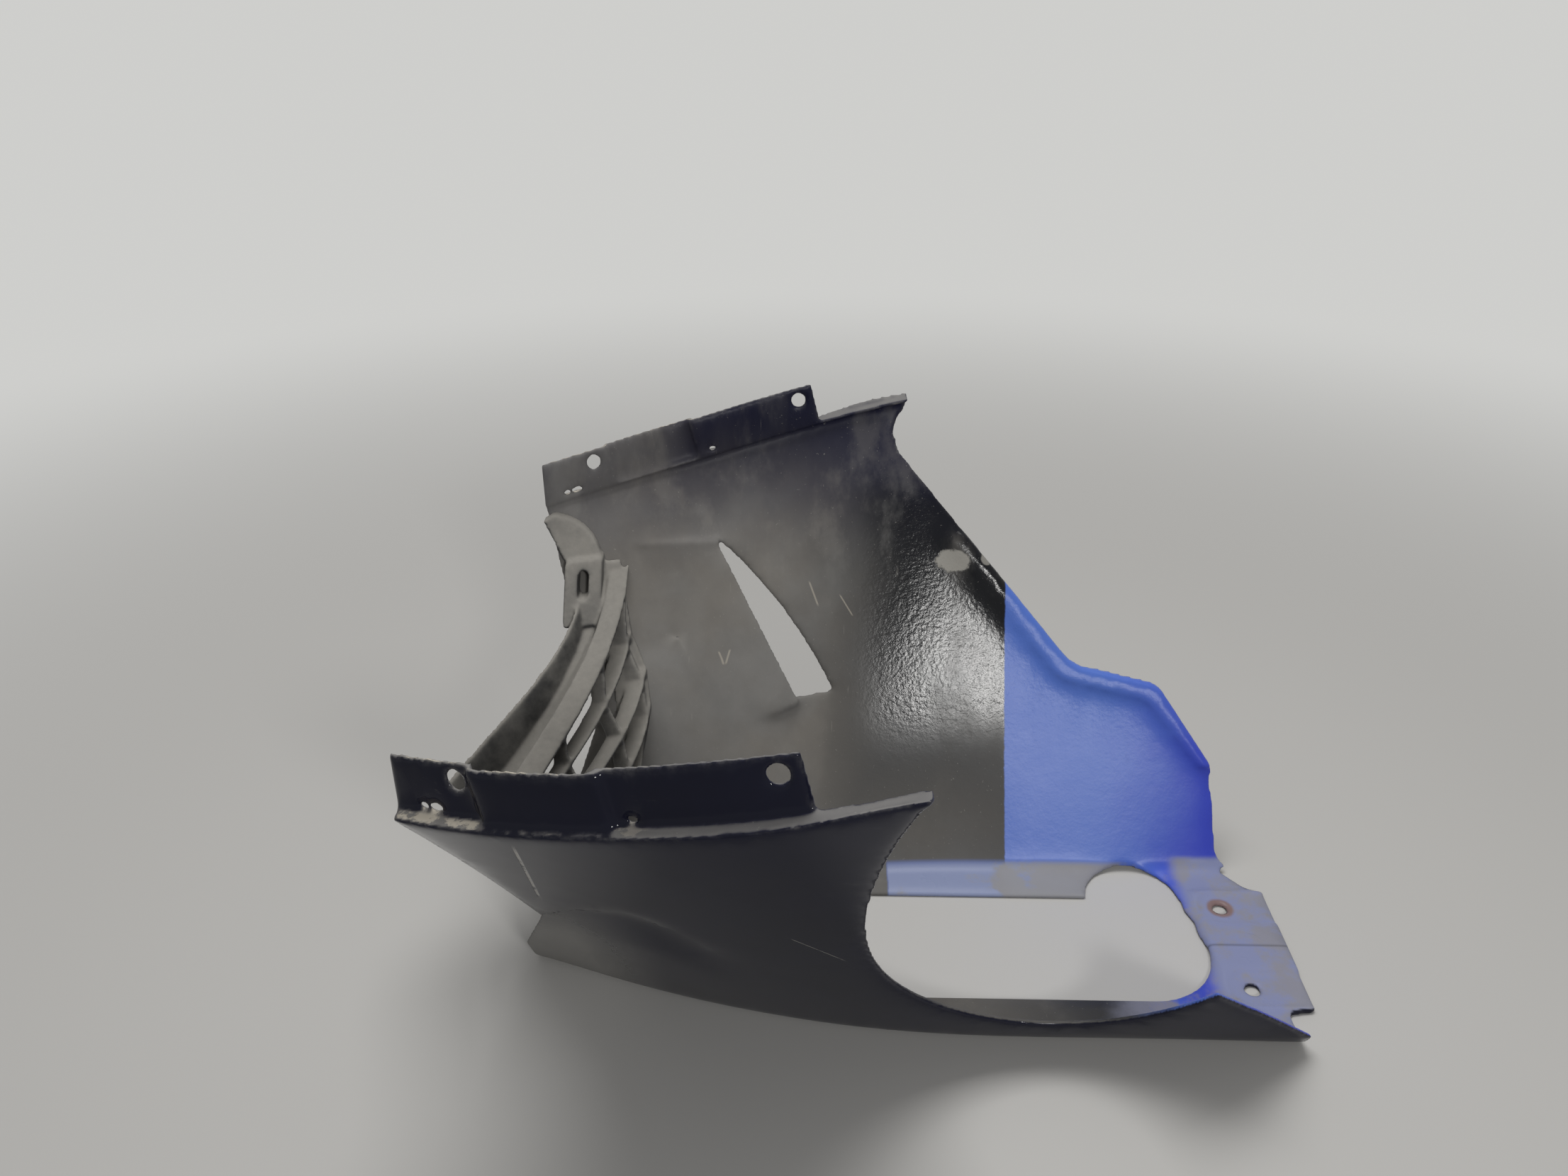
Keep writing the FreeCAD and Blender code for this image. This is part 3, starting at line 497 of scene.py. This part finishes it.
def paintGrille():
    p = grillePlastic
    f = Finish("dustyGrillePlastic", 0.6)
    edge = f.attribute("edge")
    up = f.attribute("upward")
    cloud = f.noise(*p["cloudNoise"])
    grain = f.noise(*p["grainNoise"])
    stipple = f.noise(*p["stippleNoise"])
    settled = f.band(up + (cloud - 0.5) * 0.7, 0.10, 0.75)
    film = f.band(cloud, 0.34, 0.68)
    colour = f.mix(film, p["black"], p["grey"])
    colour = f.mix(settled * (0.55 + 0.45 * grain), colour, p["dust"])
    rub = edge * f.band(grain, 0.50, 0.66) * f.band(f.noise(*p["patchNoise"]), 0.44, 0.62)
    colour = f.mix(rub * 0.6, colour, p["rubbed"])
    rough = 0.46 + settled * 0.36 + film * 0.10
    return f.finishWith(colour, rough, stipple * 0.6 + grain * 0.5, p["bumpDepth"])


for piece, node, slot, material in (
    (bellyPan, "belly_pan", "painted_shell", paintShell()),
    (frontGrille, "front_grille", "grille_plastic", paintGrille()),
):
    piece.data.materials.clear()
    piece.data.materials.append(material)
    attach(piece, "root")
    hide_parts(node)
print("skins painted")


# Studio: one plain pale floor that fades into the backdrop, and soft boxes at a plain level

studio = {
    "floorColour": (0.44, 0.435, 0.425), "backdrop": (0.62, 0.62, 0.605), "reach": 6.0, "fade": (0.5, 1.7),
    "skyColour": (1.0, 0.995, 0.985), "skyStrength": 0.24, "lampColour": (1.0, 0.99, 0.97),
    "lamps": {
        "overheadBox": {
            "place": (-0.15, 0.38, 1.75), "aim": (0.0, -0.05, 0.0), "size": (1.5, 0.9), "power": 22.0,
        },
        "windowBox": {
            "place": (0.46, -1.40, 0.93), "aim": (0.06, 0.14, 0.12), "size": (0.25, 0.16), "power": 9.5,
        },
    },
}


def seenRays(tree):
    # one for what the camera, a reflection or a clear body looks at, and nought for light on the object
    path = tree.nodes.new("ShaderNodeLightPath")
    total = path.outputs["Is Camera Ray"]
    for name in ("Is Glossy Ray", "Is Transmission Ray"):
        larger = tree.nodes.new("ShaderNodeMath")
        larger.operation = "MAXIMUM"
        tree.links.new(total, larger.inputs[0])
        tree.links.new(path.outputs[name], larger.inputs[1])
        total = larger.outputs[0]
    return total


def studioFloor():
    reach = studio["reach"]
    mesh = bpy.data.meshes.new("studioFloor")
    corners = [(x * reach, y * reach, 0.0) for x, y in ((-1, -1), (1, -1), (1, 1), (-1, 1))]
    mesh.from_pydata(corners, [], [(0, 1, 2, 3)])
    floor = bpy.data.objects.new("studioFloor", mesh)
    bpy.context.scene.collection.objects.link(floor)
    f = Finish("paleFloor", 0.6)
    f.shader.inputs["Base Color"].default_value = (*studio["floorColour"], 1.0)
    far = f.band(f.distance(f.x, f.y), *studio["fade"]) * Wire(f, seenRays(f.tree))
    glow = f.node("ShaderNodeEmission", {}, {"Color": (*studio["backdrop"], 1.0), "Strength": 1.0})
    both = f.node("ShaderNodeMixShader", {}, {0: far, 1: Wire(f, f.shader.outputs[0]), 2: glow})
    f.tree.links.new(both.socket, f.tree.nodes["Material Output"].inputs["Surface"])
    mesh.materials.append(f.material)


def plainSky():
    world = bpy.data.worlds.new("plainSky")
    world.use_nodes = True
    tree = world.node_tree
    light = tree.nodes["Background"]
    light.inputs["Color"].default_value = (*studio["skyColour"], 1.0)
    light.inputs["Strength"].default_value = studio["skyStrength"]
    seen = tree.nodes.new("ShaderNodeBackground")
    seen.inputs["Color"].default_value = (*studio["backdrop"], 1.0)
    both = tree.nodes.new("ShaderNodeMixShader")
    tree.links.new(seenRays(tree), both.inputs[0])
    tree.links.new(light.outputs[0], both.inputs[1])
    tree.links.new(seen.outputs[0], both.inputs[2])
    tree.links.new(both.outputs[0], tree.nodes["World Output"].inputs["Surface"])
    bpy.context.scene.world = world


def softBox(name, place, aim, size, power):
    light = bpy.data.lights.new(name, "AREA")
    light.shape = "RECTANGLE"
    light.size, light.size_y = size
    light.energy = power
    light.color = studio["lampColour"]
    lamp = bpy.data.objects.new(name, light)
    lamp.location = place
    lamp.rotation_euler = (Vector(aim) - Vector(place)).to_track_quat("-Z", "Y").to_euler()
    bpy.context.scene.collection.objects.link(lamp)


studioFloor()
plainSky()
for lampName, lampSpec in studio["lamps"].items():
    softBox(lampName, **lampSpec)
bpy.context.scene.view_settings.view_transform = "Standard"
print("studio lit")


# Camera where the photograph was taken from

view = {
    "place": (-0.03665, -0.61814, 0.57241), "focalPixels": 1800.4, "pictureWidth": 2212, "sensor": 36.0,
    "right": (0.99961, 0.02739, -0.00470), "up": (-0.00835, 0.45728, 0.88928),
    "back": (0.02651, -0.88890, 0.45733), "nearest": 0.01,
}
camera = bpy.data.objects.new("photoCamera", bpy.data.cameras.new("photoCamera"))
camera.data.sensor_width = view["sensor"]
camera.data.lens = view["sensor"] * view["focalPixels"] / view["pictureWidth"]
camera.data.clip_start = view["nearest"]
turned = Matrix((view["right"], view["up"], view["back"])).transposed().to_4x4()
camera.matrix_world = Matrix.Translation(view["place"]) @ turned
bpy.context.scene.collection.objects.link(camera)
bpy.context.scene.camera = camera

print("scene ready")
